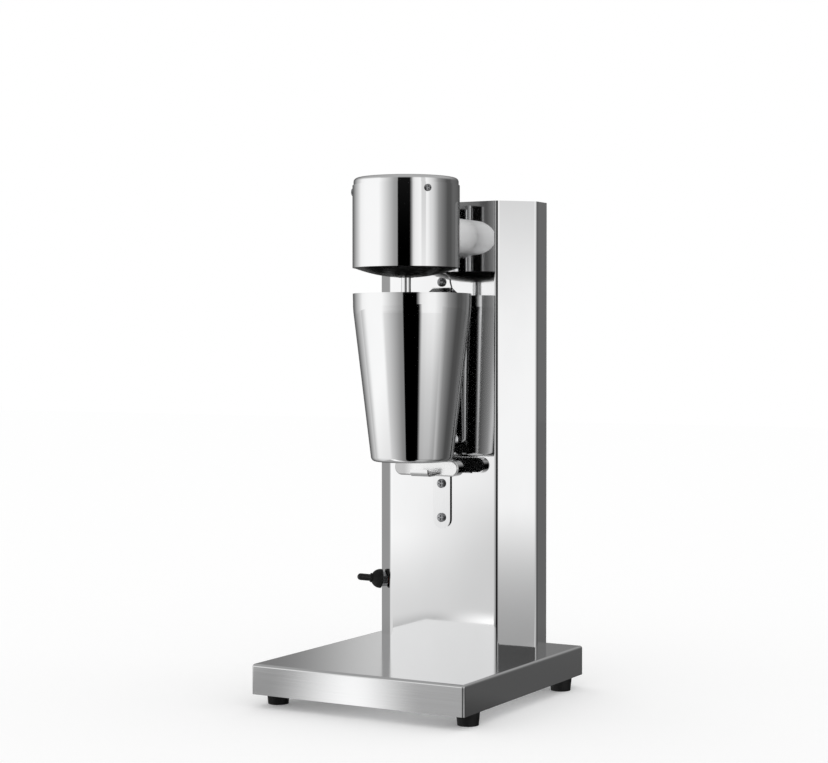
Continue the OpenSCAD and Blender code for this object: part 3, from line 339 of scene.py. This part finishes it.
# It is nearly lost after three mirrorings, as between the head and the column.
FILL_SECTOR = (47, 51, 84, 88)
FILL_MIRRORINGS = 3
LOST_FILL_LEVEL = 0.03
# A lamp behind on the left brightens the base's top.
LAMP_SECTOR = (-153.5, -152, -149.5, -146)
LAMP_RISE = (0.08, 0.13)
LAMP_LEVEL = 0.72
# What matt surfaces are lit with from all sides
DIFFUSE_LEVEL = 0.92

world = bpy.data.worlds.new("studio")
bpy.context.scene.world = world
world.use_nodes = True
world.cycles.sampling_method = "NONE"
sky = Graph(world.node_tree)
heading = sky.split(sky.add("ShaderNodeTexCoord", output="Generated"))
rise = heading[2]
azimuth = sky.bearing(heading[0], heading[1])
turn = sky.math("ADD", sky.math("DIVIDE", azimuth, 2 * math.pi), 0.5)
horizon = sky.ramp(turn, [(full_turn(a), level) for a, level in ROOM])
path = sky.tree.nodes.new("ShaderNodeLightPath")
fade = sky.math("MULTIPLY", sky.sector(azimuth, *CHAMFER_SECTOR),
                sky.between(rise, *CHAMFER_FADE_RISE, 0.0, CHAMFER_FADE))
horizon = sky.mix(fade, horizon, grey(0.0))
mirrored_often = sky.math("GREATER_THAN", path.outputs["Ray Depth"], FILL_MIRRORINGS - 0.5)
lost = sky.math("MULTIPLY", sky.sector(azimuth, *FILL_SECTOR), mirrored_often)
horizon = sky.mix(lost, horizon, grey(LOST_FILL_LEVEL))
lamp = sky.math("MULTIPLY", sky.sector(azimuth, *LAMP_SECTOR), sky.between(rise, *LAMP_RISE))
horizon = sky.mix(lamp, horizon, grey(LAMP_LEVEL))
room = sky.mix(sky.between(rise, *CEILING_RISE), horizon, grey(CEILING_LEVEL))
light = sky.mix(path.outputs["Is Glossy Ray"], grey(DIFFUSE_LEVEL), room)
light = sky.mix(path.outputs["Is Camera Ray"], light, grey(1.0))
sky.add("ShaderNodeOutputWorld", {"Surface": sky.add("ShaderNodeBackground", {"Color": light})})

FLOOR_HALF = 6.0
FLOOR_DROP = 0.0002
PAPER_GLOW = 0.16

# How much of the room the table passes on to a mirror, on each side of the machine: the distances between
# which it changes, and its levels at them
KEY_TABLE = (0.45, 1.6, 0.72, 1.0)
FRONT_TABLE = (0.9, 3.0, 0.69, 0.94)
RIGHT_TABLE = (0.15, 2.3, 0.36, 1.0)
REAR_TABLE = (0.2, 0.6, 0.75, 0.92)
LEFT_TABLE_LEVEL = 0.72
# The bearings, in degrees, between which one side of the table turns into the next, from left to right
LEFT_TO_KEY = (-85, -70)
KEY_TO_FRONT = (-34, -25)
FRONT_TO_RIGHT = (10, 40)
# Up to the first of these bearings, the table on the right is painted dark. This is a painted shadow of the
# camera stand, and mirrors see it.
CAMERA_SHADOW_TO_RIGHT = (41, 50)
# Where the front half of the table turns into the rear half, along Y
FRONT_TO_REAR = (-0.06, 0.06)

# A painted pool of light on the table just before the machine, which only mirrors see. Its edges slant left
# by this much for each metre ahead.
# Across them it rises and falls, and ahead and on both sides it ends between these places.
FRONT_Y = cad_box[0][1]
LIGHT_POOL_SLANT = 0.613
LIGHT_POOL_RISE = (-0.1, -0.003, 0.3, 1.0)
LIGHT_POOL_FALL = (0.0, 0.075, 1.27, 0.5)
LIGHT_POOL_FRONT_Y = (-0.46, -0.36)
LIGHT_POOL_SIDE_X = (0.2, 0.3)


def table_tint(graph):
    """How much of the room the table passes on to a mirror: nearly all of it under the key light, less in
    front and on the right, a painted shadow of the camera stand, and a painted pool of light just before the
    machine."""
    place = graph.place()
    x, y, _ = graph.split(place)
    distance = graph.add("ShaderNodeVectorMath", {0: place}, output=1, operation="LENGTH")
    bearing = graph.bearing(x, y)

    # Painted shadow of the camera stand: the right of the table stays dark below the first of its bearings.
    right = graph.math("MULTIPLY", graph.between(distance, *RIGHT_TABLE),
                       graph.turned(bearing, *CAMERA_SHADOW_TO_RIGHT))
    table = graph.blend(graph.turned(bearing, *KEY_TO_FRONT),
                        graph.between(distance, *KEY_TABLE), graph.between(distance, *FRONT_TABLE))
    table = graph.blend(graph.turned(bearing, *FRONT_TO_RIGHT), table, right)
    table = graph.blend(graph.turned(bearing, *LEFT_TO_KEY), LEFT_TABLE_LEVEL, table)

    # The painted pool of light on the table just before the machine
    ahead = graph.math("SUBTRACT", FRONT_Y, y)
    across = graph.math("ADD", x, graph.math("MULTIPLY", ahead, LIGHT_POOL_SLANT))
    light_pool = graph.math("MULTIPLY", graph.between(across, *LIGHT_POOL_RISE), graph.between(across, *LIGHT_POOL_FALL))
    near = graph.between(y, *LIGHT_POOL_FRONT_Y)
    beside = graph.between(graph.math("ABSOLUTE", x), *LIGHT_POOL_SIDE_X, 1.0, 0.0)
    table = graph.blend(graph.math("MULTIPLY", near, beside), table, light_pool)

    return graph.blend(graph.between(y, *FRONT_TO_REAR), table, graph.between(distance, *REAR_TABLE))


def floor_material():
    """White paper that keeps the shadow. A mirror sees the room through it, dimmed by the table's tint."""
    material, graph = new_material("studio_floor")
    grain = graph.noise(graph.place(), scale=400.0, detail=2.0)
    paper = graph.add("ShaderNodeAddShader", {
        0: graph.add("ShaderNodeBsdfDiffuse", {"Color": graph.mix(grain, grey(0.9), grey(0.91))}),
        1: graph.add("ShaderNodeEmission", {"Color": grey(1.0), "Strength": PAPER_GLOW}),
    })
    mirrored = graph.add("ShaderNodeBsdfTransparent", {"Color": table_tint(graph)})
    path = graph.tree.nodes.new("ShaderNodeLightPath")
    close_material(graph, graph.add("ShaderNodeMixShader", {
        0: path.outputs["Is Glossy Ray"], 1: paper, 2: mirrored}))
    return material


floor_mesh = bpy.data.meshes.new("floor")
floor_mesh.from_pydata(
    [(-FLOOR_HALF, -FLOOR_HALF, 0), (FLOOR_HALF, -FLOOR_HALF, 0),
     (FLOOR_HALF, FLOOR_HALF, 0), (-FLOOR_HALF, FLOOR_HALF, 0)], [], [(0, 1, 2, 3)])
floor = bpy.data.objects.new("floor", floor_mesh)
floor.location.z = -FLOOR_DROP
floor.data.materials.append(floor_material())
bpy.context.scene.collection.objects.link(floor)


# ---- camera ----

CAMERA_AT = (0.85907, -1.52391, 0.33083)
CAMERA_AZIMUTH = math.radians(29.667)
CAMERA_PITCH = math.radians(1.034)
FOCAL_LENGTH = 80.29
SENSOR_WIDTH = 36.0

lens = bpy.data.cameras.new("camera")
lens.lens = FOCAL_LENGTH
lens.sensor_width = SENSOR_WIDTH
lens.clip_start = 0.05
lens.clip_end = 30.0
camera = bpy.data.objects.new("camera", lens)
camera.location = CAMERA_AT
camera.rotation_euler = (math.pi / 2 - CAMERA_PITCH, 0, CAMERA_AZIMUTH)
bpy.context.scene.collection.objects.link(camera)
bpy.context.scene.camera = camera
bpy.context.scene.view_settings.view_transform = "Standard"
